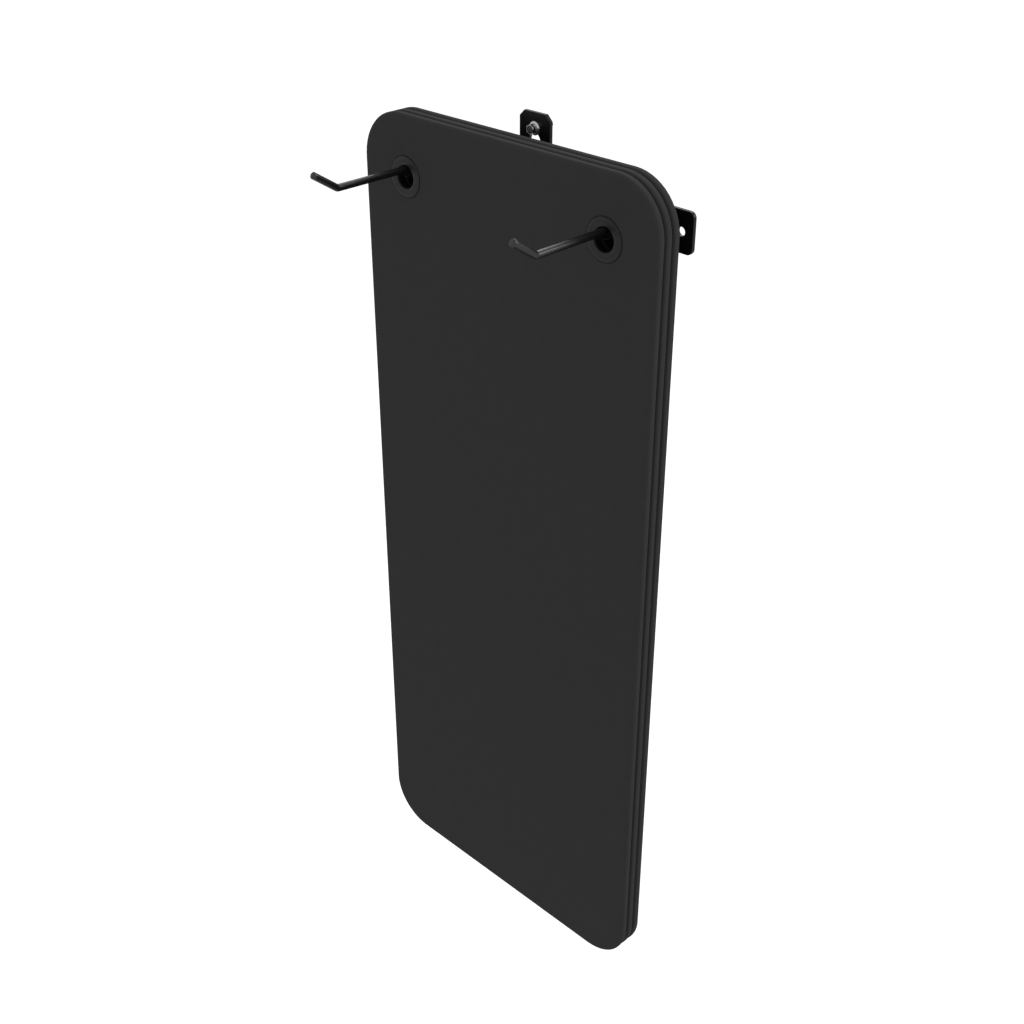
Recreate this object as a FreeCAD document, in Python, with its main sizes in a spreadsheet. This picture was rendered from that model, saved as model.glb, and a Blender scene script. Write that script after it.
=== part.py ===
import FreeCAD, Part
import math
import os

import Sketcher
from FreeCAD import Vector

# A wall rack for exercise mats: a flat steel crossbar on an upright steel strap carries two round
# pegs, and three foam mats hang on the pegs by their eyelets.
# Frame: millimetres, +Z up, the wall is the plane Y = 0 and the rack stands out towards -Y.
# The origin is on the strap's back face, level with the pegs' axis and midway between them.

os.makedirs("parts", exist_ok=True)

doc = FreeCAD.newDocument("MatRack")

# ---------------------------------------------------------------- driving dimensions
DIMENSIONS = [
    ("mat_width", 590, "foam mat, across"),
    ("mat_height", 1400, "foam mat, top to bottom"),
    ("mat_thick", 15.2, "foam mat, face to face"),
    ("mat_pitch", 15.5, "one mat's face to the same face of the next"),
    ("mat_corner", 80, "radius of the mat's corners, seen from the front"),
    ("mat_edge", 4, "radius along the mat's edges"),
    ("mat_standoff", 31.8, "wall to the back face of the rear mat"),
    ("eyelet_spacing", 401.4, "between the two eyelets of a mat, and between the pegs"),
    ("eyelet_drop", 94, "mat's top edge to the eyelets' centres"),
    ("eyelet_bore", 17.35, "radius of the hole that the peg goes through"),
    ("eyelet_barrel", 20.5, "outer radius of the eyelet's barrel"),
    ("eyelet_rim", 31.5, "outer radius of the eyelet's two flanges"),
    ("eyelet_flat", 28, "radius of the front flange's flat face, inside its bevel"),
    ("eyelet_flange", 2, "thickness of each flange"),
    ("eyelet_proud", 1.2, "front flange above the foam's front face"),
    ("eyelet_sunk", 1.4, "rear flange below the foam's back face"),
    ("eyelet_lip", 2.5, "rounding of the barrel's two mouths"),
    ("rim_bevel", 0.9, "depth of the bevel round the front flange"),
    ("lock_flat", 29.5, "radius of the locking ring's flat face, inside its bevel"),
    ("lock_bevel", 1, "depth of the bevel round the locking ring"),
    ("ring_groove", 0.3, "depth of the fine groove moulded in the front flange"),
    ("groove_radius", 25, "radius of that groove"),
    ("groove_half", 0.6, "half its width"),
    ("seat_play", 0.25, "foam to the barrel and to the front flange's rim"),
    ("lock_play", 1, "foam to the locking ring's rim"),
    ("rest_gap", 0.3, "peg's top to the eyelet's bore where the mat hangs"),
    ("bar_length", 597, "crossbar"),
    ("bar_height", 60, "crossbar"),
    ("bar_rise", 2.4, "pegs' axis up to the centre line of the crossbar and the strap"),
    ("bar_corner", 9, "radius of the crossbar's corners"),
    ("plate_thick", 6, "flat steel of the crossbar and of the strap"),
    ("plate_edge", 0.6, "broken edges of both plates"),
    ("end_hole", 6.5, "radius of the crossbar's two end holes"),
    ("end_inset", 20.5, "crossbar's end to the centre of its end hole"),
    ("strap_width", 60, "upright strap"),
    ("strap_height", 213, "upright strap"),
    ("strap_chamfer", 9, "strap's cut corners"),
    ("wall_bolt_rise", 83.6, "crossbar's centre line up or down to a wall bolt"),
    ("keyhole_big", 11, "radius of the keyhole's round opening"),
    ("keyhole_drop", 17.5, "wall bolt down to the centre of the round opening"),
    ("neck_radius", 4.5, "half the width of the keyhole's neck, and the lower bolt's hole"),
    ("peg_radius", 5.5, "round bar of the pegs"),
    ("peg_shoulder", 23, "wall to the step where the peg's thread starts"),
    ("peg_reach", 209, "wall to the peg's bend"),
    ("peg_angle", 33, "upward turn of the peg's tip, in degrees"),
    ("peg_tip", 51, "bend to the end of the tip"),
    ("peg_bend", 7, "radius of the bend at the bar's centre line"),
    ("peg_chamfer", 1, "broken edge at the peg's end"),
    ("stud_radius", 5, "threaded end of the peg"),
    ("stud_end", 0.8, "wall to the threaded end"),
    ("peg_hole", 5.25, "radius of the crossbar's holes for the pegs"),
    ("nut_flats", 16, "nuts on the pegs, across flats"),
    ("bevel_start", 0.475, "where a hexagon's bevel starts from its axis, as a share of its width"),
    ("bevel_stop", 0.62, "where the bevel's cut ends, past the corners, as the same share"),
    ("bevel_slope", 30, "slope of that bevel, in degrees"),
    ("front_nut", 8, "height of the nut in front of the crossbar"),
    ("rear_nut", 5, "height of the thin nut behind the crossbar"),
    ("peg_washer_rim", 10, "outer radius of the washer under the front nut"),
    ("peg_washer", 2, "thickness of that washer"),
    ("thread_play", 0.05, "radius of a nut's bore over its thread"),
    ("bolt_radius", 4, "wall bolt's shank"),
    ("bolt_flats", 13, "wall bolt's head, across flats"),
    ("bolt_head", 5.3, "height of the wall bolt's head"),
    ("bolt_length", 40, "wall bolt, under the head"),
    ("bolt_plain", 12.5, "unthreaded part of the wall bolt, under the head"),
    ("bolt_thread", 3.65, "mean radius of the wall bolt's thread, which is drawn plain"),
    ("flat_washer_rim", 10, "outer radius of the plain washer on the strap"),
    ("flat_washer", 2, "thickness of that washer"),
    ("washer_bore", 4.2, "radius of the holes of the washers under the wall bolt"),
    ("washer_edge", 0.3, "broken edge of every washer"),
    ("spring_washer_rim", 7.4, "outer radius of the spring washer under the head"),
    ("spring_washer", 2.5, "thickness of that washer"),
    ("spring_split", 1.4, "width of the spring washer's split"),
    ("overcut", 1, "how far a cut runs past the piece that it cuts"),
    ("screw_radius", 4, "screws that hold the crossbar to the strap"),
    ("screw_hole", 4.5, "radius of their clearance holes in the crossbar"),
    ("screw_rise", 16, "crossbar's centre line up or down to a screw"),
    ("screw_head", 7, "radius of their domed heads"),
    ("screw_dome", 4.4, "height of the domed heads"),
    ("screw_side", 1.5, "height of the straight side under the dome"),
    ("brow_radius", 5.85, "radius where the dome turns in towards its flat top"),
    ("brow_height", 3.5, "height of the dome there"),
    ("screw_crown", 3.5, "radius of the flat on top of the dome"),
    ("screw_end", 0.5, "wall to the screw's end"),
    ("socket_flats", 5, "hexagon socket in the screw's head, across flats"),
    ("socket_deep", 2.6, "depth of that socket"),
]

sizes = doc.addObject("Spreadsheet::Sheet", "Sizes")
for row, (alias, value, meaning) in enumerate(DIMENSIONS, start=1):
    sizes.set(f"A{row}", meaning)
    sizes.set(f"B{row}", str(value))
    sizes.setAlias(f"B{row}", alias)
doc.recompute()

SUB_PARTS = []


# ---------------------------------------------------------------- how a piece is drawn
def size(expression):
    """The number that an expression on the sheet's cells has."""
    result = sizes.evalExpression(expression)
    return float(getattr(result, "Value", result))


def new_body(label, x="0", y="0", z="0"):
    """A body of its own for one piece, placed by expressions on the sheet."""
    body = doc.addObject("PartDesign::Body", label)
    body.Label = label
    for axis, expression in (("x", x), ("y", y), ("z", z)):
        body.setExpression(f".Placement.Base.{axis}", cell(expression))
    SUB_PARTS.append(body)
    return body


def cell(expression):
    """The same expression with each word that is an alias read from the sheet."""
    words = {alias for alias, _, _ in DIMENSIONS}
    text, word = "", ""
    for letter in expression + " ":
        if letter.isalnum() or letter in "_.":
            word += letter
            continue
        text += f"Sizes.{word}" if word in words else word
        text += letter
        word = ""
    return text.strip()


def new_sketch(body, plane, lift="0"):
    """A sketch on one of the body's own origin planes, lifted along the plane's normal."""
    sketch = body.newObject("Sketcher::SketchObject", f"{body.Label}_sketch")
    support = next(f for f in body.Origin.OriginFeatures if f.Role == plane)
    sketch.AttachmentSupport = [(support, "")]
    sketch.MapMode = "FlatFace"
    sketch.setExpression(".AttachmentOffset.Base.z", cell(lift))
    return sketch


def fix_value(sketch, kind, *items):
    """A dimension whose value is the last item, an expression on the sheet."""
    index = sketch.addConstraint(Sketcher.Constraint(kind, *items[:-1], size(cell(items[-1]))))
    sketch.setExpression(f"Constraints[{index}]", cell(items[-1]))


def fix_point(sketch, geometry, position, across, along):
    """Dimension a point from the sketch's origin, or put it on the axis where a value is 0."""
    for kind, axis, value in (("DistanceX", -2, across), ("DistanceY", -1, along)):
        if value == "0":
            sketch.addConstraint(Sketcher.Constraint("PointOnObject", geometry, position, axis))
        else:
            fix_value(sketch, kind, -1, 1, geometry, position, value)


def draw_outline(sketch, corners):
    """A closed outline through the corners, each given by two expressions."""
    points = [Vector(size(cell(a)), size(cell(b)), 0) for a, b in corners]
    count = len(points)
    for i in range(count):
        sketch.addGeometry(Part.LineSegment(points[i], points[(i + 1) % count]), False)
    for i, (across, along) in enumerate(corners):
        sketch.addConstraint(Sketcher.Constraint("Coincident", i, 2, (i + 1) % count, 1))
        fix_point(sketch, i, 1, across, along)


def draw_circle(sketch, across, along, radius):
    """A full circle about a point given by two expressions."""
    centre = Vector(size(cell(across)), size(cell(along)), 0)
    circle = Part.Circle(centre, Vector(0, 0, 1), size(cell(radius)))
    index = sketch.addGeometry(circle, False)
    fix_point(sketch, index, 3, across, along)
    fix_value(sketch, "Radius", index, radius)


def hexagon(flats):
    """Corners of a hexagon with one corner up, from its width across flats."""
    half, top, side = f"{flats} / 2", f"{flats} / sqrt(3)", f"{flats} / (2 * sqrt(3))"
    return [
        ("0", top), (f"-{half}", side), (f"-{half}", f"-{side}"),
        ("0", f"-{top}"), (half, f"-{side}"), (half, side),
    ]


def add_pad(body, sketch, length, towards_wall=False):
    """Thicken a sketch, away from the wall unless told otherwise."""
    pad = body.newObject("PartDesign::Pad", f"{body.Label}_pad")
    pad.Profile = sketch
    pad.Reversed = towards_wall
    pad.setExpression("Length", cell(length))
    doc.recompute()
    return pad


def add_pocket(body, sketch, depth=None, towards_wall=True):
    """Cut a sketch through the whole body, or to a depth from the sketch's plane."""
    before = body.Shape.Volume
    pocket = body.newObject("PartDesign::Pocket", f"{body.Label}_pocket")
    pocket.Profile = sketch
    if depth is None:
        pocket.Type = "ThroughAll"
        pocket.Midplane = True
    else:
        pocket.Reversed = not towards_wall
        pocket.setExpression("Length", cell(depth))
    doc.recompute()
    if body.Shape.Volume > before - 0.1:
        raise SystemExit(f"{body.Label}: {pocket.Name} cuts nothing")
    return pocket


def add_turned(body, corners, kind="PartDesign::Revolution"):
    """Turn an outline of (radius, Y) corners about the body's own Y axis, to add or to cut."""
    before = body.Shape.Volume if kind == "PartDesign::Groove" else None
    sketch = new_sketch(body, "XY_Plane")
    draw_outline(sketch, corners)
    turned = body.newObject(kind, f"{body.Label}_turned")
    turned.Profile = sketch
    turned.ReferenceAxis = (sketch, ["V_Axis"])
    turned.Angle = 360
    doc.recompute()
    if before is not None and body.Shape.Volume > before - 0.1:
        raise SystemExit(f"{body.Label}: {turned.Name} cuts nothing")
    return turned


def add_edge(body, feature, kind, amount, chosen):
    """Fillet or chamfer the edges of a feature that a test on the edge chooses."""
    names = [f"Edge{i}" for i, edge in enumerate(feature.Shape.Edges, start=1) if chosen(edge)]
    if not names:
        raise SystemExit(f"{body.Label}: no edge to dress")
    dressed = body.newObject(f"PartDesign::{kind}", f"{body.Label}_{kind.lower()}")
    dressed.Base = (feature, names)
    dressed.setExpression("Radius" if kind == "Fillet" else "Size", cell(amount))
    doc.recompute()
    return dressed


def at_depth(*depths):
    """A test for edges that lie all in one plane parallel to the wall, at one of the depths."""
    def chosen(edge):
        box = edge.BoundBox
        flat = box.YLength < 1e-6
        return flat and any(abs(box.YMin - depth) < 1e-6 for depth in depths)
    return chosen


def along_y(edge):
    """A test for straight edges square to the wall."""
    box = edge.BoundBox
    return box.XLength < 1e-6 and box.ZLength < 1e-6


def circle_at(radius, depth):
    """A test for a full circle of that radius in the plane Y = depth."""
    def chosen(edge):
        if not isinstance(edge.Curve, Part.Circle) or len(edge.Vertexes) > 1:
            return False
        return abs(edge.Curve.Radius - radius) < 1e-4 and abs(edge.BoundBox.YMin - depth) < 1e-4
    return chosen


# ---------------------------------------------------------------- crossbar
def make_crossbar():
    """Laser-cut flat bar: holes for the pegs, the two screws and a fixing at each end."""
    bar = new_body("crossbar", y="-plate_thick", z="bar_rise")
    half_long, half_high = "bar_length / 2", "bar_height / 2"
    sketch = new_sketch(bar, "XZ_Plane")
    draw_outline(sketch, [
        (f"-{half_long}", f"-{half_high}"), (half_long, f"-{half_high}"),
        (half_long, half_high), (f"-{half_long}", half_high),
    ])
    blank = add_pad(bar, sketch, "plate_thick")
    add_edge(bar, blank, "Fillet", "bar_corner", along_y)

    holes = new_sketch(bar, "XZ_Plane")
    for side in ("", "-"):
        draw_circle(holes, f"{side}eyelet_spacing / 2", "-bar_rise", "peg_hole")
        draw_circle(holes, f"{side}(bar_length / 2 - end_inset)", "0", "end_hole")
        draw_circle(holes, "0", f"{side}screw_rise", "screw_hole")
    drilled = add_pocket(bar, holes)
    add_edge(bar, drilled, "Fillet", "plate_edge", at_depth(0, -size("Sizes.plate_thick")))


# ---------------------------------------------------------------- wall strap
def make_wall_strap():
    """Upright flat bar with cut corners: keyhole above, plain hole below, two tapped holes."""
    strap = new_body("wall_strap", z="bar_rise")
    wide, high = "strap_width / 2", "strap_height / 2"
    narrow, low = f"({wide} - strap_chamfer)", f"({high} - strap_chamfer)"
    sketch = new_sketch(strap, "XZ_Plane")
    draw_outline(sketch, [
        (f"-{narrow}", f"-{high}"), (narrow, f"-{high}"), (wide, f"-{low}"), (wide, low),
        (narrow, high), (f"-{narrow}", high), (f"-{wide}", low), (f"-{wide}", f"-{low}"),
    ])
    add_pad(strap, sketch, "plate_thick")

    keyhole = new_sketch(strap, "XZ_Plane")
    draw_circle(keyhole, "0", "wall_bolt_rise - keyhole_drop", "keyhole_big")
    draw_circle(keyhole, "0", "-wall_bolt_rise", "neck_radius")
    for side in ("", "-"):
        draw_circle(keyhole, "0", f"{side}screw_rise", "screw_radius + thread_play")
    add_pocket(strap, keyhole)
    neck_top = new_sketch(strap, "XZ_Plane")
    draw_circle(neck_top, "0", "wall_bolt_rise", "neck_radius")
    add_pocket(strap, neck_top)
    neck = new_sketch(strap, "XZ_Plane")
    low, high = "wall_bolt_rise - keyhole_drop", "wall_bolt_rise"
    draw_outline(neck, [
        ("-neck_radius", low), ("neck_radius", low), ("neck_radius", high), ("-neck_radius", high),
    ])
    cut = add_pocket(strap, neck)
    add_edge(strap, cut, "Fillet", "plate_edge", at_depth(0, -size("Sizes.plate_thick")))


# ---------------------------------------------------------------- pegs
def make_peg(side, label):
    """Round bar, stepped down to a thread at the crossbar and turned up at its free end."""
    peg = new_body(label, x=f"{side}eyelet_spacing / 2")
    cut_back = "peg_bend * tan(peg_angle / 2)"
    start = ("-peg_shoulder", "0")
    bend_in = (f"-(peg_reach - {cut_back})", "0")
    bend_out = (f"-(peg_reach + {cut_back} * cos(peg_angle))", f"{cut_back} * sin(peg_angle)")
    end = ("-(peg_reach + peg_tip * cos(peg_angle))", "peg_tip * sin(peg_angle)")
    at = [Vector(size(cell(a)), size(cell(b)), 0) for a, b in (start, bend_in, bend_out, end)]
    # a sketch's arc runs anticlockwise, so this one starts at the tip's end of the bend
    radius = size("Sizes.peg_bend")
    circle = Part.Circle(Vector(at[1].x, radius, 0), Vector(0, 0, 1), radius)
    turned = math.radians(size("Sizes.peg_angle"))
    bend = Part.ArcOfCircle(circle, -math.pi / 2 - turned, -math.pi / 2)

    path = new_sketch(peg, "YZ_Plane")
    path.addGeometry([Part.LineSegment(at[0], at[1]), bend, Part.LineSegment(at[2], at[3])], False)
    for line, ends in ((0, (start, bend_in)), (2, (bend_out, end))):
        for position, point in enumerate(ends, start=1):
            fix_point(path, line, position, *point)
    path.addConstraint(Sketcher.Constraint("Coincident", 1, 1, 2, 1))
    path.addConstraint(Sketcher.Constraint("Coincident", 1, 2, 0, 2))
    fix_value(path, "DistanceY", -1, 1, 1, 3, "peg_bend")

    profile = new_sketch(peg, "XZ_Plane", lift="peg_shoulder")
    draw_circle(profile, "0", "0", "peg_radius")
    rod = peg.newObject("PartDesign::AdditivePipe", f"{label}_rod")
    rod.Profile = profile
    rod.Spine = (path, ["Edge1", "Edge2", "Edge3"])
    doc.recompute()
    section = math.pi * size("Sizes.peg_radius") ** 2
    if abs(rod.Shape.Volume - section * path.Shape.Length) > 0.01 * rod.Shape.Volume:
        raise SystemExit(f"{label}: the bar doesn't follow its path")
    if path.Shape.Length > size("Sizes.peg_reach - Sizes.peg_shoulder + Sizes.peg_tip"):
        raise SystemExit(f"{label}: the bend turns the long way round")

    def tip_edge(edge):
        centre = edge.BoundBox.Center
        return centre.z > size(cell(end[1])) - 1 and centre.y < size(cell(end[0])) + 1
    add_edge(peg, rod, "Chamfer", "peg_chamfer", tip_edge)
    shank = new_sketch(peg, "XZ_Plane", lift="peg_shoulder")
    draw_circle(shank, "0", "0", "stud_radius")
    stud = add_pad(peg, shank, "peg_shoulder - stud_end", towards_wall=True)
    stud_face = circle_at(size("Sizes.stud_radius"), -size("Sizes.stud_end"))
    add_edge(peg, stud, "Chamfer", "peg_chamfer", stud_face)


# ---------------------------------------------------------------- nuts, washers, bolts, screws
def bevel_hexagon(body, flats, face):
    """Turn the corners of a hexagon down at its outer face, where Y = -face."""
    inner, outer = f"{flats} * bevel_start", f"{flats} * bevel_stop"
    add_turned(body, [
        (inner, f"-({face})"), (outer, f"-({face})"),
        (outer, f"-({face}) + ({outer} - {inner}) * tan(bevel_slope)"),
    ], "PartDesign::Groove")


def make_nut(label, side, near, height):
    """Hexagon nut on a peg's thread; near is the distance of its wall-side face from the wall."""
    nut = new_body(label, x=f"{side}eyelet_spacing / 2", y=f"-({near})")
    sketch = new_sketch(nut, "XZ_Plane")
    draw_outline(sketch, hexagon("nut_flats"))
    add_pad(nut, sketch, height)
    bevel_hexagon(nut, "nut_flats", height)
    bore = new_sketch(nut, "XZ_Plane")
    draw_circle(bore, "0", "0", "stud_radius + thread_play")
    add_pocket(nut, bore)


def make_washer(label, rim, bore, thick, x="0", y="0", z="0"):
    """Plain turned washer with its wall-side face at Y = y."""
    washer = new_body(label, x, y, z)
    sketch = new_sketch(washer, "XZ_Plane")
    draw_circle(sketch, "0", "0", rim)
    draw_circle(sketch, "0", "0", bore)
    disc = add_pad(washer, sketch, thick)
    corner = circle_at(size(cell(rim)), -size(cell(thick)))
    add_edge(washer, disc, "Chamfer", "washer_edge", corner)
    return washer


def make_wall_bolt(place, height):
    """Hexagon bolt into the wall, over a spring washer and a plain washer."""
    make_washer(f"flat_washer_{place}", "flat_washer_rim", "washer_bore", "flat_washer",
                y="-plate_thick", z=height)
    spring = make_washer(f"spring_washer_{place}", "spring_washer_rim", "washer_bore",
                         "spring_washer", y="-(plate_thick + flat_washer)", z=height)
    split = new_sketch(spring, "XZ_Plane")
    half, out = "spring_split / 2", "spring_washer_rim + overcut"
    draw_outline(split, [
        (f"-{half}", "washer_bore - overcut"), (half, "washer_bore - overcut"),
        (f"{half} + spring_washer", out), (f"-{half} + spring_washer", out),
    ])
    add_pocket(spring, split)

    bolt = new_body(f"wall_bolt_{place}", y="-(plate_thick + flat_washer + spring_washer)",
                    z=height)
    sketch = new_sketch(bolt, "XZ_Plane")
    draw_outline(sketch, hexagon("bolt_flats"))
    add_pad(bolt, sketch, "bolt_head")
    bevel_hexagon(bolt, "bolt_flats", "bolt_head")
    shank = new_sketch(bolt, "XZ_Plane")
    draw_circle(shank, "0", "0", "bolt_radius")
    add_pad(bolt, shank, "bolt_plain", towards_wall=True)
    thread = new_sketch(bolt, "XZ_Plane")
    draw_circle(thread, "0", "0", "bolt_thread")
    rod = add_pad(bolt, thread, "bolt_length", towards_wall=True)
    end = circle_at(size("Sizes.bolt_thread"), size("Sizes.bolt_length"))
    add_edge(bolt, rod, "Chamfer", "peg_chamfer", end)


def make_strap_screw(place, side):
    """Domed socket screw through the crossbar into the strap's tapped hole."""
    screw = new_body(f"strap_screw_{place}", y="-2 * plate_thick",
                     z=f"bar_rise + {side}screw_rise")
    add_turned(screw, [
        ("0", "2 * plate_thick - screw_end"), ("screw_radius", "2 * plate_thick - screw_end"),
        ("screw_radius", "0"), ("screw_head", "0"), ("screw_head", "-screw_side"),
        ("brow_radius", "-brow_height"), ("screw_crown", "-screw_dome"), ("0", "-screw_dome"),
    ])
    socket = new_sketch(screw, "XZ_Plane", lift="screw_dome")
    draw_outline(socket, hexagon("socket_flats"))
    add_pocket(screw, socket, "socket_deep")


# ---------------------------------------------------------------- mats and their eyelets
# height of the eyelets' centres, with the tops of their bores resting on the pegs
HANG = "-(eyelet_bore - peg_radius - rest_gap)"


def make_mat(label, back):
    """Foam slab with rounded corners and edges, and a stepped seat for each eyelet."""
    mat = new_body(label, y=f"-({back})", z=HANG)
    half = "mat_width / 2"
    top, bottom = "eyelet_drop", "(eyelet_drop - mat_height)"
    sketch = new_sketch(mat, "XZ_Plane")
    draw_outline(sketch, [(f"-{half}", bottom), (half, bottom), (half, top), (f"-{half}", top)])
    slab = add_pad(mat, sketch, "mat_thick")
    cornered = add_edge(mat, slab, "Fillet", "mat_corner", along_y)
    add_edge(mat, cornered, "Fillet", "mat_edge", at_depth(0, -size("Sizes.mat_thick")))

    through = new_sketch(mat, "XZ_Plane")
    front_seat = new_sketch(mat, "XZ_Plane", lift="mat_thick")
    rear_seat = new_sketch(mat, "XZ_Plane")
    for side in ("", "-"):
        across = f"{side}eyelet_spacing / 2"
        draw_circle(through, across, "0", "eyelet_barrel + seat_play")
        draw_circle(front_seat, across, "0", "eyelet_rim + seat_play")
        draw_circle(rear_seat, across, "0", "eyelet_rim + lock_play")
    add_pocket(mat, through)
    add_pocket(mat, front_seat, "eyelet_flange - eyelet_proud")
    add_pocket(mat, rear_seat, "eyelet_sunk + eyelet_flange", towards_wall=False)


def make_eyelet(mat, side_name, side, back):
    """Two plastic halves: a flange with the barrel in front, and the ring that locks it behind."""
    place = dict(x=f"{side}eyelet_spacing / 2", y=f"-({back})", z=HANG)
    face = "(mat_thick + eyelet_proud)"
    under = f"({face} - eyelet_flange)"
    front = new_body(f"eyelet_{mat}_{side_name}", **place)
    turned = add_turned(front, [
        ("eyelet_bore", "-eyelet_sunk"), ("eyelet_barrel", "-eyelet_sunk"),
        ("eyelet_barrel", f"-{under}"), ("eyelet_rim", f"-{under}"),
        ("eyelet_rim", f"-({face} - rim_bevel)"), ("eyelet_flat", f"-{face}"),
        ("groove_radius + groove_half", f"-{face}"), ("groove_radius", f"-({face} - ring_groove)"),
        ("groove_radius - groove_half", f"-{face}"),
        ("eyelet_bore", f"-{face}"),
    ])
    bore = size("Sizes.eyelet_bore")
    mouths = [circle_at(bore, -size("Sizes.eyelet_sunk")), circle_at(bore, -size(cell(face)))]
    add_edge(front, turned, "Fillet", "eyelet_lip", lambda e: any(test(e) for test in mouths))

    inner = "(eyelet_barrel + thread_play)"
    rear_low, rear_high = "-eyelet_sunk", "-(eyelet_sunk + eyelet_flange)"
    rear = new_body(f"eyelet_lock_{mat}_{side_name}", **place)
    add_turned(rear, [
        (inner, rear_low), ("lock_flat", rear_low),
        ("eyelet_rim", f"{rear_low} - lock_bevel"), ("eyelet_rim", rear_high),
        (inner, rear_high),
    ])


make_crossbar()
make_wall_strap()
for side_name, side in (("left", "-"), ("right", "")):
    make_peg(side, f"peg_{side_name}")
    make_washer(f"peg_washer_{side_name}", "peg_washer_rim", "peg_hole", "peg_washer",
                x=f"{side}eyelet_spacing / 2", y="-2 * plate_thick")
    make_nut(f"peg_front_nut_{side_name}", side, "2 * plate_thick + peg_washer", "front_nut")
    make_nut(f"peg_rear_nut_{side_name}", side, "plate_thick - rear_nut", "rear_nut")
make_wall_bolt("upper", "bar_rise + wall_bolt_rise")
make_wall_bolt("lower", "bar_rise - wall_bolt_rise")
make_strap_screw("upper", "")
make_strap_screw("lower", "-")
for place, mat in enumerate(("rear", "middle", "front")):
    back = f"mat_standoff + {place} * mat_pitch"
    make_mat(f"foam_{mat}", back)
    for side_name, side in (("left", "-"), ("right", "")):
        make_eyelet(mat, side_name, side, back)

# ---------------------------------------------------------------- checks and export
doc.recompute()
for item in doc.Objects:
    if any(state in ("Invalid", "Error") for state in item.State):
        raise SystemExit(f"{item.Label} is {item.State}")
for part in SUB_PARTS:
    shape = part.Shape
    if shape.isNull() or not shape.isValid() or len(shape.Solids) != 1:
        raise SystemExit(f"{part.Label}: not one valid solid")
    shape.exportStep(f"parts/{part.Label}.step")
    box = shape.BoundBox
    print(f"{part.Label:28s} {shape.Volume:12.1f} mm3  Y {box.YMin:8.2f} .. {box.YMax:7.2f}"
          f"  Z {box.ZMin:9.2f} .. {box.ZMax:7.2f}")
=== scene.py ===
# A wall rack for exercise mats: a steel crossbar on an upright strap, two turned-up pegs, and a
# stack of three foam mats that hang on the pegs by their eyelets. Metres; the wall is Y = 0.
import math

import bmesh
import bpy
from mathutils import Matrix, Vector


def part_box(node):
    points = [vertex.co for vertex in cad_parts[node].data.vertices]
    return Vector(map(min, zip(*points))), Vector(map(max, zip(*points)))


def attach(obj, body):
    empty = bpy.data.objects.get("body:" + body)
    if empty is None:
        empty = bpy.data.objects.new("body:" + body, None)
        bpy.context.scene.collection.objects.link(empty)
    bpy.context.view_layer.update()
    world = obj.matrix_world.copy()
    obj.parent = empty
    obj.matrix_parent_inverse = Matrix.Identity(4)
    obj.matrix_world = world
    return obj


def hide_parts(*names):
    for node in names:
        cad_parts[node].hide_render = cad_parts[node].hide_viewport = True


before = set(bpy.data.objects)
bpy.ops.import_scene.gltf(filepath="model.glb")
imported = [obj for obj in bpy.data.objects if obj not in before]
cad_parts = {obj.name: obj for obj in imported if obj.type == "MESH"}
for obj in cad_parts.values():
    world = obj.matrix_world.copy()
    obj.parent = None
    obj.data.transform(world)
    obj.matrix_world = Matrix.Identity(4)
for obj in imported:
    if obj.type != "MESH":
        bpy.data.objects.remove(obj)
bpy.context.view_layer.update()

MM = 0.001


# ---------------------------------------------------------------- camera and studio
# A plain pale studio, lit almost evenly from all round: a translucent pale floor with some light
# of its own, a faint overhead light, and two large soft lights low behind, left and right, for
# the pegs to mirror. A 50 mm lens looks from 45 degrees to the right and 30 degrees up.
def hex_colour(code, alpha=1.0):
    """An sRGB colour such as #2f2f2f as linear red, green, blue and alpha."""
    parts = [int(code[i:i + 2], 16) / 255 for i in (1, 3, 5)]
    linear = [c / 12.92 if c <= 0.04045 else ((c + 0.055) / 1.055) ** 2.4 for c in parts]
    return (*linear, alpha)


def add_node(tree, kind, settings=None, **inputs):
    """Add a node, set its properties, and set or link its inputs by name; _ stands for a space."""
    node = tree.nodes.new(kind)
    for key, value in (settings or {}).items():
        setattr(node, key, value)
    for key, value in inputs.items():
        name = key.replace("_", " ")
        socket = next(s for s in node.inputs if s.name == name and s.enabled)
        if isinstance(value, bpy.types.NodeSocket):
            tree.links.new(value, socket)
        else:
            socket.default_value = value
    return node


def new_material(name):
    """A material, its node tree and its shader."""
    material = bpy.data.materials.new(name)
    material.use_nodes = True
    return material, material.node_tree, material.node_tree.nodes["Principled BSDF"]


def make_object(name, mesh):
    """A mesh as an object of the scene, at the origin."""
    piece = bpy.data.objects.new(name, mesh)
    bpy.context.scene.collection.objects.link(piece)
    return piece


scene = bpy.context.scene
scene.view_settings.view_transform = "Standard"
foam_low, foam_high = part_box("foam_front")

CAMERA_BEFORE_MATS = 1.381
CAMERA_OVER_MATS = 0.5419
CAMERA_RIGHT = 1.4077
camera_data = bpy.data.cameras.new("camera")
camera_data.lens = 50
camera_data.sensor_width = 36
camera_data.clip_end = 60
camera = bpy.data.objects.new("camera", camera_data)
camera.location = (CAMERA_RIGHT, foam_low[1] - CAMERA_BEFORE_MATS, foam_high[2] + CAMERA_OVER_MATS)
camera.rotation_euler = (math.radians(60), 0, math.radians(45))
scene.collection.objects.link(camera)
scene.camera = camera

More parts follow.
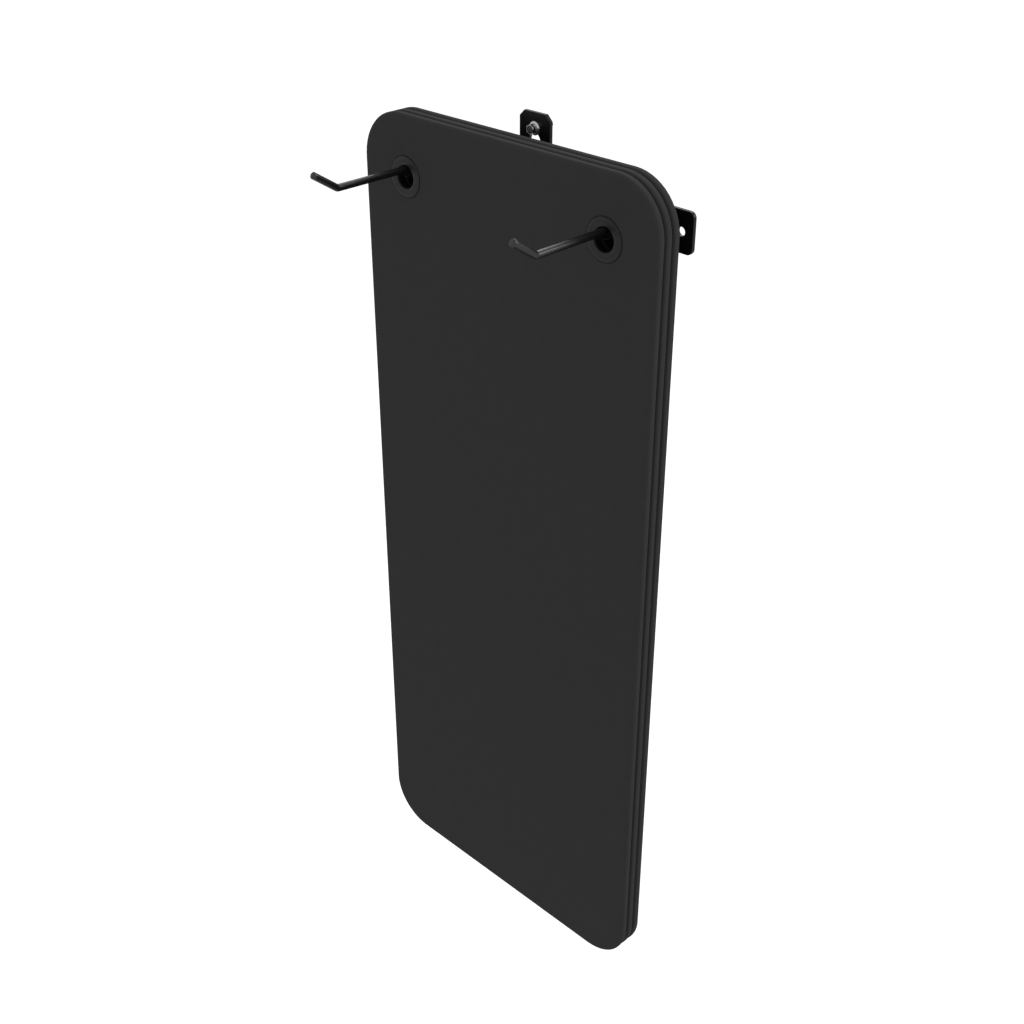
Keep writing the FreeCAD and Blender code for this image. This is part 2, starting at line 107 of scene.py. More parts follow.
FLOOR_DROP = 0.45
FLOOR_HALF = 20.0
floor_z = foam_low[2] - FLOOR_DROP
floor_mesh = bpy.data.meshes.new("studio_floor")
floor_corners = [(-1, -1), (1, -1), (1, 1), (-1, 1)]
floor_mesh.from_pydata([(x * FLOOR_HALF, y * FLOOR_HALF, floor_z) for x, y in floor_corners],
                       [], [(0, 1, 2, 3)])
floor = make_object("studio_floor", floor_mesh)
floor_paint, tree, shader = new_material("opal acrylic floor, lit from below")
shader.inputs["Base Color"].default_value = hex_colour("#f6f6f5")
shader.inputs["Emission Color"].default_value = hex_colour("#ffffff")
shader.inputs["Emission Strength"].default_value = 0.5
shader.inputs["Roughness"].default_value = 1.0
shader.inputs["Specular IOR Level"].default_value = 0.0
floor.data.materials.append(floor_paint)
floor.visible_diffuse = False
floor.visible_glossy = False

# The surround is white to the camera, and to the object an even grey, a little lighter above.
world = bpy.data.worlds.new("studio surround")
world.use_nodes = True
tree = world.node_tree
toward = add_node(tree, "ShaderNodeTexCoord").outputs["Generated"]
height = add_node(tree, "ShaderNodeSeparateXYZ", Vector=toward).outputs["Z"]
sky = add_node(tree, "ShaderNodeMapRange", {"interpolation_type": "SMOOTHSTEP"}, Value=height,
               From_Min=-0.3, From_Max=0.8, To_Min=0.54, To_Max=0.54)
seen = add_node(tree, "ShaderNodeLightPath").outputs["Is Camera Ray"]
strength = add_node(tree, "ShaderNodeMix", {"data_type": "FLOAT"}, Factor=seen,
                    A=sky.outputs["Result"], B=1.0)
tree.links.new(strength.outputs["Result"], tree.nodes["Background"].inputs["Strength"])
tree.nodes["Background"].inputs["Color"].default_value = hex_colour("#ffffff")
scene.world = world

overhead = bpy.data.lights.new("overhead", "SUN")
overhead.energy = 0.3
overhead.angle = math.radians(30)
overhead_light = bpy.data.objects.new("overhead", overhead)
toward_light = Vector((0.5, 0.15, 0.85))
overhead_light.rotation_euler = (-toward_light).to_track_quat("-Z", "Y").to_euler()
scene.collection.objects.link(overhead_light)


def add_softbox(name, place, wide, high, watts):
    """A soft rectangular light that faces the pegs."""
    data = bpy.data.lights.new(name, "AREA")
    data.shape = "RECTANGLE"
    data.size, data.size_y = wide, high
    data.energy = watts
    box = bpy.data.objects.new(name, data)
    box.location = place
    box.rotation_euler = (-box.location).to_track_quat("-Z", "Y").to_euler()
    scene.collection.objects.link(box)


add_softbox("back_left", Vector((-1.4, 2.7, 2.2)), 3.0, 1.2, 34)
add_softbox("back_right", Vector((2.3, 2.5, 1.15)), 1.9, 1.4, 22)


# ---------------------------------------------------------------- foam mats
# Three mats of closed-cell foam sheet with a fine skin, cut with round corners, their edges
# rolled over in the moulding press, which leaves deep grooves between them. The foam dips a
# little where the eyelets' flanges pinch it, and a narrow moat is left round each flange.
CORNER = 80 * MM
EDGE = 10 * MM
EDGE_ROLL = 4.8 * MM
PINCH = 0.35 * MM
PINCH_REACH = 22 * MM
FLANGE = 31.5 * MM
FACE_CELL = 10 * MM
eye_low, eye_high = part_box("eyelet_front_right")
EYE_X = (eye_low[0] + eye_high[0]) / 2
EYE_Z = (eye_low[2] + eye_high[2]) / 2
SEATS = (EYE_X, -EYE_X)


def face_rows(low, high):
    """Rows (height, half width) up a face whose outline is the mat's, drawn in by the edge."""
    half = (high[0] - low[0]) / 2 - EDGE
    radius = CORNER - EDGE
    bottom, top = low[2] + EDGE, high[2] - EDGE
    steps = 14
    turns = [math.radians(90 * (i + 0.35) / steps) for i in range(steps)]
    arc = [(radius * (1 - math.cos(t)), half - radius + radius * math.sin(t)) for t in turns]
    arc.insert(0, (0.0, half - radius))
    straight = top - bottom - 2 * radius
    count = round(straight / FACE_CELL)
    rows = [(bottom + rise, wide) for rise, wide in arc]
    rows += [(bottom + radius + straight * i / count, half) for i in range(count + 1)]
    rows += [(top - rise, wide) for rise, wide in reversed(arc)]
    return rows


def pinch_at(x, z):
    """How far the foam is drawn in near an eyelet's flange."""
    near = min(math.hypot(x - seat, z - EYE_Z) for seat in SEATS) - FLANGE
    share = 1 - min(max(near, 0) / PINCH_REACH, 1)
    return PINCH * share * share * (3 - 2 * share)


def foam_slab(name, low, high):
    """A closed slab: two gridded faces joined by a rolled edge."""
    rows = face_rows(low, high)
    columns = round(2 * rows[len(rows) // 2][1] / FACE_CELL)
    thick = high[1] - low[1]
    bm = bmesh.new()
    rims = []
    for face_y, inward in ((low[1], 1), (high[1], -1)):
        grid = []
        for z, half in rows:
            across = [half * (2 * i / columns - 1) for i in range(columns + 1)]
            grid.append([bm.verts.new((x, face_y + inward * pinch_at(x, z), z)) for x in across])
        for below, above in zip(grid, grid[1:]):
            for i in range(columns):
                bm.faces.new((below[i], below[i + 1], above[i + 1], above[i]))
        right = [line[-1] for line in grid]
        left = [line[0] for line in grid]
        rims.append(grid[0] + right[1:] + grid[-1][-2::-1] + left[-2:0:-1])
    middle_z = (low[2] + high[2]) / 2
    inner_x = (high[0] - low[0]) / 2 - CORNER
    inner_z = (high[2] - low[2]) / 2 - CORNER
    outward = []
    for vert in rims[0]:
        from_x = max(abs(vert.co.x) - inner_x, 0)
        from_z = max(abs(vert.co.z - middle_z) - inner_z, 0)
        length = math.hypot(from_x, from_z)
        outward.append((math.copysign(from_x / length, vert.co.x),
                        math.copysign(from_z / length, vert.co.z - middle_z)))
    steps = 8
    turns = [math.radians(90 * i / steps) for i in range(1, steps + 1)]
    profile = [(EDGE * math.sin(t), EDGE_ROLL * (1 - math.cos(t))) for t in turns]
    profile += [(out, thick - deep) for out, deep in reversed(profile)]
    loops = [rims[0]]
    for out, deep in profile:
        loops.append([bm.verts.new((v.co.x + nx * out, low[1] + deep, v.co.z + nz * out))
                      for v, (nx, nz) in zip(rims[0], outward)])
    loops.append(rims[1])
    for near, far in zip(loops, loops[1:]):
        for i in range(len(near)):
            j = (i + 1) % len(near)
            bm.faces.new((near[i], far[i], far[j], near[j]))
    bmesh.ops.recalc_face_normals(bm, faces=bm.faces)
    mesh = bpy.data.meshes.new(name)
    bm.to_mesh(mesh)
    bm.free()
    return mesh


def lathe(name, outline, centre, sides=96):
    """A closed ring turned about an axis along Y from a closed outline of (radius, y)."""
    bm = bmesh.new()
    rings = []
    for i in range(sides):
        turn = 2 * math.pi * i / sides
        rings.append([
            bm.verts.new((centre[0] + r * math.cos(turn), y, centre[1] + r * math.sin(turn)))
            for r, y in outline])
    count = len(outline)
    for i in range(sides):
        here, there = rings[i], rings[(i + 1) % sides]
        for k in range(count):
            m = (k + 1) % count
            bm.faces.new((here[k], here[m], there[m], there[k]))
    bmesh.ops.recalc_face_normals(bm, faces=bm.faces)
    mesh = bpy.data.meshes.new(name)
    bm.to_mesh(mesh)
    bm.free()
    return mesh


def crease_shading(mesh, degrees):
    """Smooth shading that breaks where faces meet at more than an angle."""
    mesh.shade_smooth()
    mesh.set_sharp_from_angle(angle=math.radians(degrees))


def settle(piece):
    """Turn a piece's modifiers into a plain mesh and drop them."""
    depsgraph = bpy.context.evaluated_depsgraph_get()
    mesh = bpy.data.meshes.new_from_object(piece.evaluated_get(depsgraph))
    piece.modifiers.clear()
    piece.data = mesh
    mesh.name = piece.name


# Closed-cell foam: matt dark grey with a fine pebble of burst cells in its skin. The cells are
# about a millimetre, so a broad faint mottle is what the eye gets from across a room.
foam, tree, shader = new_material("closed-cell foam, skinned sheet")
place = add_node(tree, "ShaderNodeTexCoord").outputs["Object"]
cells = add_node(tree, "ShaderNodeTexVoronoi", {"feature": "SMOOTH_F1"},
                 Vector=place, Scale=1 / (1.4 * MM), Smoothness=0.6)
grain = add_node(tree, "ShaderNodeTexNoise", Vector=place, Scale=1 / (0.8 * MM), Detail=3.0)
mottle = add_node(tree, "ShaderNodeTexNoise", Vector=place, Scale=1 / (26 * MM), Detail=4.0,
                  Roughness=0.6)
tone = add_node(tree, "ShaderNodeMix", {"data_type": "RGBA"}, Factor=mottle.outputs["Fac"],
                A=hex_colour("#383838"), B=hex_colour("#3d3d3d"))
tree.links.new(tone.outputs["Result"], shader.inputs["Base Color"])
rough = add_node(tree, "ShaderNodeMapRange", Value=grain.outputs["Fac"], To_Min=0.82, To_Max=0.95)
tree.links.new(rough.outputs["Result"], shader.inputs["Roughness"])
shader.inputs["Specular IOR Level"].default_value = 0.2
pebble = add_node(tree, "ShaderNodeBump", Height=cells.outputs["Distance"], Strength=0.35,
                  Distance=0.15 * MM)
skin = add_node(tree, "ShaderNodeBump", Height=grain.outputs["Fac"], Strength=0.3,
                Distance=0.08 * MM, Normal=pebble.outputs["Normal"])
tree.links.new(skin.outputs["Normal"], shader.inputs["Normal"])

BIT = 0.5 * MM
OVERCUT = 3 * MM
BARREL_SEAT = 20.7 * MM
MOAT_WALL = 30.7 * MM
FRONT_SEAT_DEPTH = 0.8 * MM
MOAT = 32.5 * MM
MOAT_DEPTH = 3.4 * MM
LOCK_SEAT = 32.4 * MM
LOCK_SEAT_DEPTH = 3.4 * MM
for row in ("front", "middle", "rear"):
    low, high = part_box(f"foam_{row}")
    mat = make_object(f"mat_{row}", foam_slab(f"mat_{row}", low, high))
    front_floor = low[1] + FRONT_SEAT_DEPTH
    lock_floor = high[1] - LOCK_SEAT_DEPTH
    seat_outline = [
        (BIT, low[1] - OVERCUT), (MOAT, low[1] - OVERCUT), (MOAT, low[1] + MOAT_DEPTH),
        (MOAT_WALL, low[1] + MOAT_DEPTH), (MOAT_WALL, front_floor),
        (BARREL_SEAT, front_floor), (BARREL_SEAT, lock_floor), (LOCK_SEAT, lock_floor),
        (LOCK_SEAT, high[1] + OVERCUT), (BIT, high[1] + OVERCUT),
    ]
    cutters = []
    for seat in SEATS:
        cutter = make_object("seat", lathe("seat", seat_outline, (seat, EYE_Z)))
        cut = mat.modifiers.new("seat", "BOOLEAN")
        cut.solver = "EXACT"
        cut.object = cutter
        cutters.append(cutter)
    settle(mat)
    for cutter in cutters:
        bpy.data.objects.remove(cutter)
    crease_shading(mat.data, 35)
    mat.data.materials.clear()
    mat.data.materials.append(foam)
    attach(mat, f"{row}_mat")
    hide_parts(f"foam_{row}")


# ---------------------------------------------------------------- eyelets
# Each eyelet is moulded in two halves of black nylon: a flange with the barrel, pressed through
# the foam from the front, and a ring that snaps on to it behind.
BORE = 17.35 * MM
BARREL = 20.5 * MM
RIM = 31.5 * MM
FLAT = 28.2 * MM
FLANGE_THICK = 2 * MM
# Faces nearer the eyelet's axis than this get the bore's painted shade.
BORE_SHADE_REACH = 18.6 * MM
LIP = 2.5 * MM
GROOVE = 25 * MM
GROOVE_HALF = 0.7 * MM
GROOVE_DEPTH = 0.35 * MM
BEVEL_DEPTH = 0.9 * MM
RIM_EASE = 0.3 * MM
RIM_ROUND = 0.5 * MM
FLAT_ROUND = 1.2 * MM
GROOVE_FLOOR = 0.25 * MM
EYELET_SIDES = 128
LOCK_BORE = 20.55 * MM
LOCK_FLAT = 29.5 * MM
LOCK_BEVEL = 1 * MM


def quarter(radius, y, size, first, last, steps=6):
    """Points of an arc about (radius, y), between two angles in degrees."""
    turns = [math.radians(first + (last - first) * i / steps) for i in range(steps + 1)]
    return [(radius + size * math.cos(t), y + size * math.sin(t)) for t in turns]


# Moulded nylon: the same dark grey as the foam but smoother, with a fine spark-eroded grain, so
# its rims catch thin highlights while its face hardly stands out.
nylon, tree, shader = new_material("black nylon, moulded with a fine grain")
place = add_node(tree, "ShaderNodeTexCoord").outputs["Object"]
grain = add_node(tree, "ShaderNodeTexNoise", Vector=place, Scale=1 / (0.35 * MM), Detail=2.0)
flow = add_node(tree, "ShaderNodeTexNoise", Vector=place, Scale=1 / (9 * MM), Detail=3.0)
tone = add_node(tree, "ShaderNodeMix", {"data_type": "RGBA"}, Factor=flow.outputs["Fac"],
                A=hex_colour("#242424"), B=hex_colour("#272728"))
tree.links.new(tone.outputs["Result"], shader.inputs["Base Color"])
rough = add_node(tree, "ShaderNodeMapRange", Value=flow.outputs["Fac"], To_Min=0.34, To_Max=0.46)
tree.links.new(rough.outputs["Result"], shader.inputs["Roughness"])
shader.inputs["Specular IOR Level"].default_value = 0.34
skin = add_node(tree, "ShaderNodeBump", Height=grain.outputs["Fac"], Strength=0.25,
                Distance=0.04 * MM)
tree.links.new(skin.outputs["Normal"], shader.inputs["Normal"])

# Painted shade: the bore's nylon is coloured far darker than the flange's, for the shade deep in
# the hole, and mottled a little at random.
bore_shade_nylon, tree, shader = new_material("black nylon, rubbed smooth in the bore")
place = add_node(tree, "ShaderNodeTexCoord").outputs["Object"]
bore_mottle = add_node(tree, "ShaderNodeTexNoise", Vector=place, Scale=1 / (5 * MM), Detail=3.0)
tone = add_node(tree, "ShaderNodeMix", {"data_type": "RGBA"}, Factor=bore_mottle.outputs["Fac"],
                A=hex_colour("#0b0b0b"), B=hex_colour("#121212"))
tree.links.new(tone.outputs["Result"], shader.inputs["Base Color"])
rough = add_node(tree, "ShaderNodeMapRange", Value=bore_mottle.outputs["Fac"], To_Min=0.4, To_Max=0.55)
tree.links.new(rough.outputs["Result"], shader.inputs["Roughness"])
shader.inputs["Specular IOR Level"].default_value = 0.25


def paint_bore_shade(mesh, centre):
    """Give the faces of a ring's bore the nylon painted dark as shade."""
    mesh.materials.append(bore_shade_nylon)
    for face in mesh.polygons:
        away = math.hypot(face.center.x - centre[0], face.center.z - centre[1])
        if away < BORE_SHADE_REACH:
            face.material_index = 1


for row in ("front", "middle", "rear"):
    for side, seat in (("right", EYE_X), ("left", -EYE_X)):
        low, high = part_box(f"eyelet_{row}_{side}")
        face, end = low[1], high[1]
        under = face + FLANGE_THICK
        outline = quarter(BORE + LIP, face + LIP, LIP, 270, 180)
        outline += quarter(BORE + LIP, end - LIP, LIP, 180, 90)
        outline += [(BARREL, end), (BARREL, under), (RIM - 0.2 * MM, under),
                    (RIM, under - RIM_EASE), (RIM, face + BEVEL_DEPTH + 0.1 * MM)]
        outline += [(RIM - RIM_ROUND, face + BEVEL_DEPTH * 0.6),
                    (FLAT + FLAT_ROUND, face + 0.12 * MM), (FLAT, face)]
        outline += [(GROOVE + GROOVE_HALF, face), (GROOVE + GROOVE_FLOOR, face + GROOVE_DEPTH),
                    (GROOVE - GROOVE_FLOOR, face + GROOVE_DEPTH), (GROOVE - GROOVE_HALF, face)]
        name = f"eyelet_ring_{row}_{side}"
        ring = make_object(name, lathe(name, outline, (seat, EYE_Z), EYELET_SIDES))
        crease_shading(ring.data, 28)
        ring.data.materials.append(nylon)
        # The bore and its lips get the nylon painted dark as shade.
        paint_bore_shade(ring.data, (seat, EYE_Z))
        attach(ring, f"{row}_mat")
        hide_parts(f"eyelet_{row}_{side}")

        low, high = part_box(f"eyelet_lock_{row}_{side}")
        front, back = low[1], high[1]
        outline = [(LOCK_BORE, front), (RIM, front), (RIM, back - LOCK_BEVEL),
                   (RIM - RIM_ROUND, back - 0.4 * MM), (LOCK_FLAT, back),
                   (LOCK_BORE + 0.6 * MM, back), (LOCK_BORE, back - 0.5 * MM)]
        name = f"eyelet_snap_{row}_{side}"
        lock = make_object(name, lathe(name, outline, (seat, EYE_Z), EYELET_SIDES))
        crease_shading(lock.data, 28)
        lock.data.materials.append(nylon)
        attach(lock, f"{row}_mat")
        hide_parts(f"eyelet_lock_{row}_{side}")


# ---------------------------------------------------------------- pegs
# Round steel bar, 11 mm thick, turned up at its free end over a tight former and turned down to
# a thread at the other. It is dipped in a smooth satin black coat.
BAR_RADIUS = 5.5 * MM
STUD_RADIUS = 5 * MM
SHOULDER = -23 * MM
STUD_END = -0.8 * MM
PEG_REACH = -209 * MM
PEG_ANGLE = 33
PEG_TIP = 51 * MM
PEG_BEND = 7 * MM
BREAK = 1 * MM
PEG_SIDES = 48


def swept_tree():
    """Sweep a round section along a curve, thick or thin by the curve's own radius."""
    tree = bpy.data.node_groups.new("swept round section", "GeometryNodeTree")
    face = tree.interface
    for name, kind in (("Path", "NodeSocketObject"), ("Section Radius", "NodeSocketFloat"),
                       ("Section Sides", "NodeSocketInt"), ("Material", "NodeSocketMaterial")):
        face.new_socket(name, in_out="INPUT", socket_type=kind)
    face.new_socket("Geometry", in_out="OUTPUT", socket_type="NodeSocketGeometry")
    given = tree.nodes.new("NodeGroupInput").outputs
    path = add_node(tree, "GeometryNodeObjectInfo", Object=given["Path"])
    section = add_node(tree, "GeometryNodeCurvePrimitiveCircle", {"mode": "RADIUS"},
                       Radius=given["Section Radius"], Resolution=given["Section Sides"])
    skin = add_node(tree, "GeometryNodeCurveToMesh", Curve=path.outputs["Geometry"],
                    Profile_Curve=section.outputs["Curve"], Fill_Caps=True)
    if "Scale" in skin.inputs:
        tree.links.new(add_node(tree, "GeometryNodeInputRadius").outputs["Radius"],
                       skin.inputs["Scale"])
    real = add_node(tree, "GeometryNodeRealizeInstances", Geometry=skin.outputs["Mesh"])
    painted = add_node(tree, "GeometryNodeSetMaterial", Geometry=real.outputs["Geometry"],
                       Material=given["Material"])
    out = tree.nodes.new("NodeGroupOutput")
    tree.links.new(painted.outputs["Geometry"], out.inputs["Geometry"])
    return tree


def swept(name, points, sides, material):
    """A rod along points of (x, y, z, radius), as a plain mesh."""
    curve = bpy.data.curves.new(f"{name}_path", "CURVE")
    curve.dimensions = "3D"
    spline = curve.splines.new("POLY")
    spline.points.add(len(points) - 1)
    for point, (x, y, z, radius) in zip(spline.points, points):
        point.co = (x, y, z, 1)
        point.radius = radius / BAR_RADIUS
    path = bpy.data.objects.new(f"{name}_path", curve)
    bpy.context.scene.collection.objects.link(path)
    piece = make_object(name, bpy.data.meshes.new(name))
    nodes = piece.modifiers.new("sweep", "NODES")
    nodes.node_group = SWEPT
    values = {"Path": path, "Section Radius": BAR_RADIUS, "Section Sides": sides,
              "Material": material}
    for item in SWEPT.interface.items_tree:
        if item.name in values:
            nodes[item.identifier] = values[item.name]
    settle(piece)
    bpy.data.objects.remove(path)
    bm = bmesh.new()
    bm.from_mesh(piece.data)
    bmesh.ops.remove_doubles(bm, verts=bm.verts, dist=1e-6)
    bmesh.ops.recalc_face_normals(bm, faces=bm.faces)
    bm.to_mesh(piece.data)
    bm.free()
    return piece


SWEPT = swept_tree()
# Dipped satin black: nearly black and fairly smooth, so a bar shows one soft bright line along
# its top. Faint drawing marks run round it, and the coat pools a little.
black_dip, tree, shader = new_material("satin black dip coat on drawn bar")
place = add_node(tree, "ShaderNodeTexCoord").outputs["Object"]
pool = add_node(tree, "ShaderNodeTexNoise", Vector=place, Scale=1 / (14 * MM), Detail=3.0)
fine = add_node(tree, "ShaderNodeTexNoise", Vector=place, Scale=1 / (0.9 * MM), Detail=2.0)
tone = add_node(tree, "ShaderNodeMix", {"data_type": "RGBA"}, Factor=pool.outputs["Fac"],
                A=hex_colour("#060606"), B=hex_colour("#0a0a0a"))
tree.links.new(tone.outputs["Result"], shader.inputs["Base Color"])
rough = add_node(tree, "ShaderNodeMapRange", Value=pool.outputs["Fac"], To_Min=0.3, To_Max=0.38)
tree.links.new(rough.outputs["Result"], shader.inputs["Roughness"])
shader.inputs["Specular IOR Level"].default_value = 0.95
skin = add_node(tree, "ShaderNodeBump", Height=fine.outputs["Fac"], Strength=0.12,
                Distance=0.03 * MM)
tree.links.new(skin.outputs["Normal"], shader.inputs["Normal"])

slope = math.radians(PEG_ANGLE)
cut_back = PEG_BEND * math.tan(slope / 2)
bend_start = PEG_REACH + cut_back
for side, x in (("right", EYE_X), ("left", -EYE_X)):
    points = [(STUD_END, 0, STUD_RADIUS - BREAK), (STUD_END - BREAK, 0, STUD_RADIUS),
              (SHOULDER + 0.02 * MM, 0, STUD_RADIUS), (SHOULDER, 0, BAR_RADIUS - 0.3 * MM),
              (SHOULDER - 0.3 * MM, 0, BAR_RADIUS)]
    points += [(SHOULDER + (bend_start - SHOULDER) * i / 24, 0, BAR_RADIUS) for i in range(1, 24)]
    for i in range(17):
        turn = slope * i / 16
        points.append((bend_start - PEG_BEND * math.sin(turn), PEG_BEND * (1 - math.cos(turn)),
                       BAR_RADIUS))
    for along in (0.3, 0.6, 0.9):
        points.append((PEG_REACH - along * PEG_TIP * math.cos(slope),
                       along * PEG_TIP * math.sin(slope), BAR_RADIUS))
    for short, radius in ((BREAK, BAR_RADIUS), (0.35 * BREAK, BAR_RADIUS - 0.45 * BREAK),
                          (0, BAR_RADIUS - BREAK)):
        points.append((PEG_REACH - (PEG_TIP - short) * math.cos(slope),
                       (PEG_TIP - short) * math.sin(slope), radius))
    rod = swept(f"peg_rod_{side}", [(x, y, z, r) for y, z, r in points], PEG_SIDES, black_dip)
    crease_shading(rod.data, 38)
    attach(rod, "rack")
    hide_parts(f"peg_{side}")


# ---------------------------------------------------------------- plates
# The crossbar and the upright strap are laser-cut from 6 mm flat bar, their edges broken and
# the whole powder-coated black. The crossbar is screwed to the strap's face.
# Powder coat: a satin skin with a fine orange peel of about a millimetre and a half, which breaks
# up what it mirrors.
powder, tree, shader = new_material("satin black powder coat, fine orange peel")
place = add_node(tree, "ShaderNodeTexCoord").outputs["Object"]
peel = add_node(tree, "ShaderNodeTexNoise", Vector=place, Scale=1 / (1.6 * MM), Detail=2.0)
cloud = add_node(tree, "ShaderNodeTexNoise", Vector=place, Scale=1 / (20 * MM), Detail=3.0)
tone = add_node(tree, "ShaderNodeMix", {"data_type": "RGBA"}, Factor=cloud.outputs["Fac"],
                A=hex_colour("#0a0a0a"), B=hex_colour("#0f0f0f"))
tree.links.new(tone.outputs["Result"], shader.inputs["Base Color"])
rough = add_node(tree, "ShaderNodeMapRange", Value=cloud.outputs["Fac"], To_Min=0.24, To_Max=0.34)
tree.links.new(rough.outputs["Result"], shader.inputs["Roughness"])
shader.inputs["Specular IOR Level"].default_value = 0.32
skin = add_node(tree, "ShaderNodeBump", Height=peel.outputs["Fac"], Strength=0.2,
                Distance=0.05 * MM)
tree.links.new(skin.outputs["Normal"], shader.inputs["Normal"])
for node in ("crossbar", "wall_strap"):
    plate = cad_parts[node]
    plate.data.materials.clear()
    plate.data.materials.append(powder)


# ---------------------------------------------------------------- pegs' nuts and the screws
# Each peg is clamped in the crossbar by a thick nut and washer in front and a thin nut behind;
# two domed socket screws join the plates. All are black oxide.
# Black oxide: a dark metal that still mirrors softly, a little blotchy where oil has dried.
oxide, tree, shader = new_material("black oxide on machined steel")
place = add_node(tree, "ShaderNodeTexCoord").outputs["Object"]
blotch = add_node(tree, "ShaderNodeTexNoise", Vector=place, Scale=1 / (3 * MM), Detail=3.0)
tone = add_node(tree, "ShaderNodeMix", {"data_type": "RGBA"}, Factor=blotch.outputs["Fac"],
                A=hex_colour("#232326"), B=hex_colour("#34343a"))
tree.links.new(tone.outputs["Result"], shader.inputs["Base Color"])
rough = add_node(tree, "ShaderNodeMapRange", Value=blotch.outputs["Fac"], To_Min=0.3, To_Max=0.45)
tree.links.new(rough.outputs["Result"], shader.inputs["Roughness"])
shader.inputs["Metallic"].default_value = 1.0
for node in ("strap_screw_upper", "strap_screw_lower", "peg_washer_left", "peg_washer_right",
             "peg_front_nut_left", "peg_front_nut_right", "peg_rear_nut_left",
             "peg_rear_nut_right"):
    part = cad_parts[node]
    part.data.materials.clear()
    part.data.materials.append(oxide)


# ---------------------------------------------------------------- wall bolts
# M8 hexagon bolts with a spring washer and a plain washer, rolled and stamped from steel and zinc
# plated. They go through the strap into the wall, and their thread starts just behind it.
# Zinc plate: bright, slightly cloudy metal with fine scratches from the plating barrel.
zinc, tree, shader = new_material("bright zinc plate, barrel plated")
place = add_node(tree, "ShaderNodeTexCoord").outputs["Object"]
cloudy = add_node(tree, "ShaderNodeTexNoise", Vector=place, Scale=1 / (2.5 * MM), Detail=4.0)
tone = add_node(tree, "ShaderNodeMix", {"data_type": "RGBA"}, Factor=cloudy.outputs["Fac"],
                A=hex_colour("#cfd0d0"), B=hex_colour("#f0f0ee"))
tree.links.new(tone.outputs["Result"], shader.inputs["Base Color"])
rough = add_node(tree, "ShaderNodeMapRange", Value=cloudy.outputs["Fac"], To_Min=0.14, To_Max=0.24)
tree.links.new(rough.outputs["Result"], shader.inputs["Roughness"])
shader.inputs["Metallic"].default_value = 1.0
scratch = add_node(tree, "ShaderNodeBump", Height=cloudy.outputs["Fac"], Strength=0.1,
                   Distance=0.03 * MM)
tree.links.new(scratch.outputs["Normal"], shader.inputs["Normal"])
for node in ("spring_washer_upper", "spring_washer_lower", "wall_bolt_upper", "wall_bolt_lower"):
    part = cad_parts[node]
    part.data.materials.clear()
    part.data.materials.append(zinc)


# The plain washer is stamped, so its front face falls away to the rim like a shallow cone.
WASHER_BORE = 4.5 * MM
WASHER_RIM = 10 * MM
WASHER_CREST = 7.2 * MM
WASHER_EDGE = 0.5 * MM
WASHER_SIDES = 64
for end in ("upper", "lower"):
    low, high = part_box(f"flat_washer_{end}")
    centre = ((low[0] + high[0]) / 2, (low[2] + high[2]) / 2)
    outline = [(WASHER_BORE, low[1]), (WASHER_CREST, low[1])]
    outline += [(WASHER_CREST + 0.5 * MM, low[1] + 0.12 * MM),
                (WASHER_RIM - 0.4 * MM, high[1] - WASHER_EDGE - 0.2 * MM),
                (WASHER_RIM, high[1] - WASHER_EDGE), (WASHER_RIM, high[1]), (WASHER_BORE, high[1])]
    name = f"stamped_washer_{end}"
    washer = make_object(name, lathe(name, outline, centre, WASHER_SIDES))
    crease_shading(washer.data, 24)
    washer.data.materials.append(zinc)
    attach(washer, "rack")
    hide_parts(f"flat_washer_{end}")

# The thread shows behind the strap, so it is wound as a real ridge on the bolt's plain shank.
THREAD_PITCH = 1.25 * MM
THREAD_START = 3 * MM
THREAD_END = 28.4 * MM
THREAD_MEAN = 3.62 * MM
RIDGE = 0.5 * MM


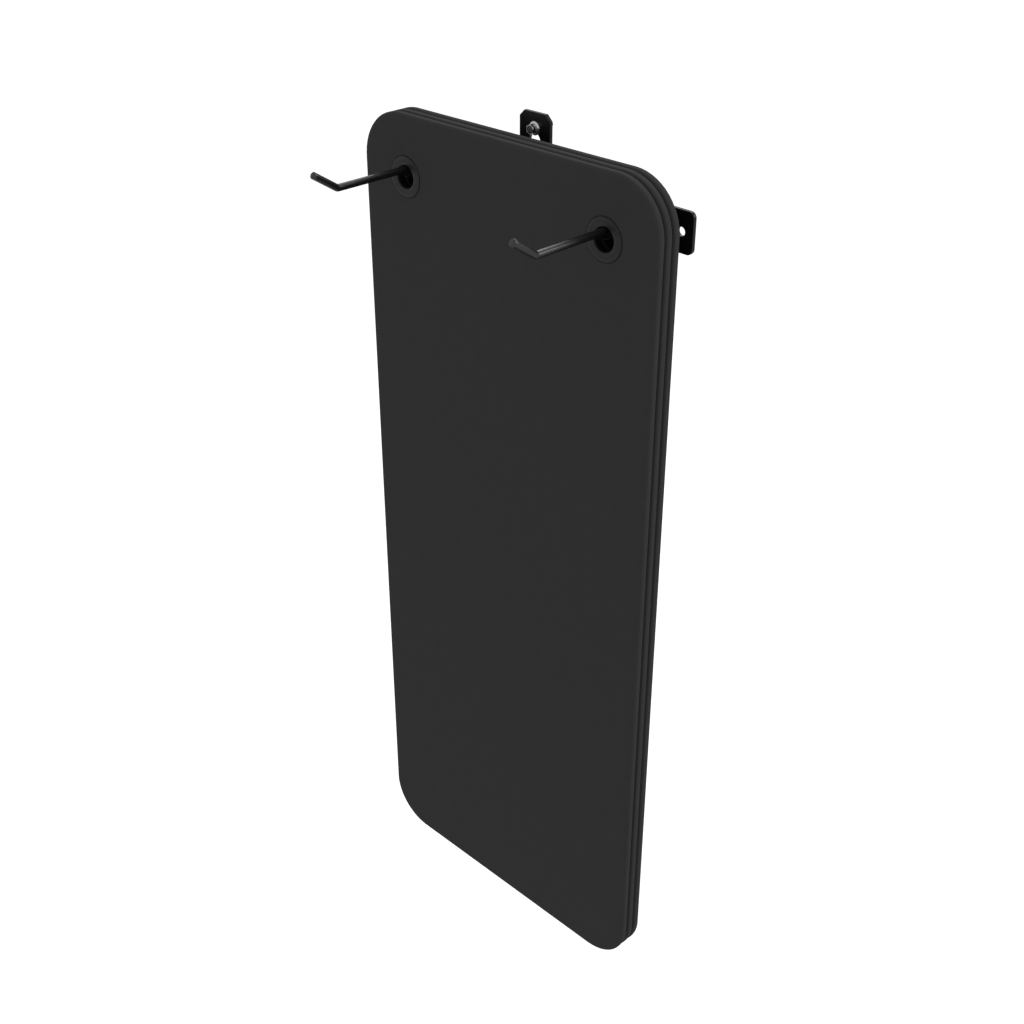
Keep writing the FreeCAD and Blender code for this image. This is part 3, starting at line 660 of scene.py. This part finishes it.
def thread_tree():
    """A helical ridge: a three-sided section swept along a spiral, laid along the Y axis."""
    tree = bpy.data.node_groups.new("wound thread", "GeometryNodeTree")
    face = tree.interface
    for name, kind in (("Turns", "NodeSocketFloat"), ("Mean Radius", "NodeSocketFloat"),
                       ("Length", "NodeSocketFloat"), ("Ridge", "NodeSocketFloat"),
                       ("Start", "NodeSocketVector"), ("Material", "NodeSocketMaterial")):
        face.new_socket(name, in_out="INPUT", socket_type=kind)
    face.new_socket("Geometry", in_out="OUTPUT", socket_type="NodeSocketGeometry")
    given = tree.nodes.new("NodeGroupInput").outputs
    spiral = add_node(tree, "GeometryNodeCurveSpiral", Resolution=40, Rotations=given["Turns"],
                      Start_Radius=given["Mean Radius"], End_Radius=given["Mean Radius"],
                      Height=given["Length"])
    section = add_node(tree, "GeometryNodeCurvePrimitiveCircle", {"mode": "RADIUS"},
                       Radius=given["Ridge"], Resolution=3)
    ridge = add_node(tree, "GeometryNodeCurveToMesh", Curve=spiral.outputs["Curve"],
                     Profile_Curve=section.outputs["Curve"], Fill_Caps=True)
    laid = add_node(tree, "GeometryNodeTransform", Geometry=ridge.outputs["Mesh"],
                    Translation=given["Start"], Rotation=(math.radians(-90), 0, 0))
    real = add_node(tree, "GeometryNodeRealizeInstances", Geometry=laid.outputs["Geometry"])
    painted = add_node(tree, "GeometryNodeSetMaterial", Geometry=real.outputs["Geometry"],
                       Material=given["Material"])
    out = tree.nodes.new("NodeGroupOutput")
    tree.links.new(painted.outputs["Geometry"], out.inputs["Geometry"])
    return tree


THREAD = thread_tree()
for end in ("upper", "lower"):
    low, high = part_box(f"wall_bolt_{end}")
    start = Vector(((low[0] + high[0]) / 2, THREAD_START, (low[2] + high[2]) / 2))
    ridge = make_object(f"bolt_thread_{end}", bpy.data.meshes.new("ridge"))
    nodes = ridge.modifiers.new("thread", "NODES")
    nodes.node_group = THREAD
    values = {"Turns": (THREAD_END - THREAD_START) / THREAD_PITCH, "Mean Radius": THREAD_MEAN,
              "Length": THREAD_END - THREAD_START, "Ridge": RIDGE, "Start": start,
              "Material": zinc}
    for item in THREAD.interface.items_tree:
        if item.name in values:
            nodes[item.identifier] = values[item.name]
    settle(ridge)
    crease_shading(ridge.data, 30)
    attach(ridge, "rack")
